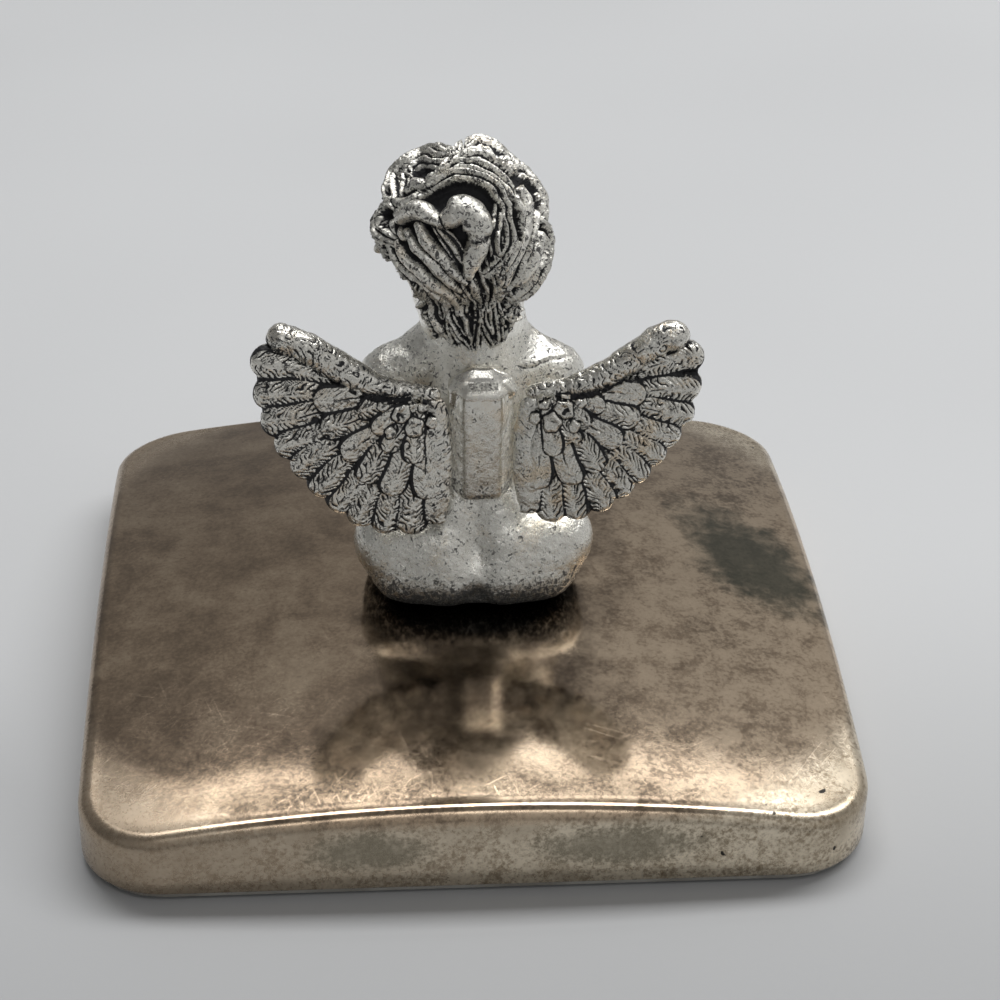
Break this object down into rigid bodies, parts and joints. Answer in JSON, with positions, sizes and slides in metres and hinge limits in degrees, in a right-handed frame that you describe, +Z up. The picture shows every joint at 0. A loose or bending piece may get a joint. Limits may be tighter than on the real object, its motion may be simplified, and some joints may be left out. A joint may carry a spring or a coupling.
{
  "type": "silver-plated keepsake box",
  "caption": "Low square box with round corners and a domed lift-off lid, velvet lined, with a cast seated winged cherub on top.",
  "frame": {"origin": "on the table, under the centre of the box", "axes": "+Z up, square to the table; +Y the way the cherub faces; +X to the right seen from the cherub's back"},
  "size_m": [0.088, 0.088, 0.0699],
  "materials": {
    "tarnished_plate": "tarnished silver plate, smooth with fine scratches",
    "plain_plate": "dull silver plate",
    "antique_silver": "cast, antiqued black in the recesses and polished on the high points",
    "screw_steel": "zinc plated",
    "velvet": "short velvet pile",
    "felt": "black felt"
  },
  "bodies": {
    "base": {"base_tray": "plain_plate", "tray_floor_pad": "velvet", "tray_wall_lining": "velvet", "felt_foot": "felt"},
    "lid": {"lid_shell": "tarnished_plate", "lid_lining": "velvet", "cherub_body": "antique_silver", "cherub_head": "antique_silver", "wing_saddle": "antique_silver", "left_wing": "antique_silver", "right_wing": "antique_silver", "figure_screw_left": "screw_steel", "figure_screw_right": "screw_steel", "figure_washer_left": "screw_steel", "figure_washer_right": "screw_steel"}
  },
  "joints": [
    {"name": "lid_lift", "type": "slide", "parent": "base", "child": "lid", "axis": [0, 0, 1], "range_m": [0, 0.03]}
  ]
}
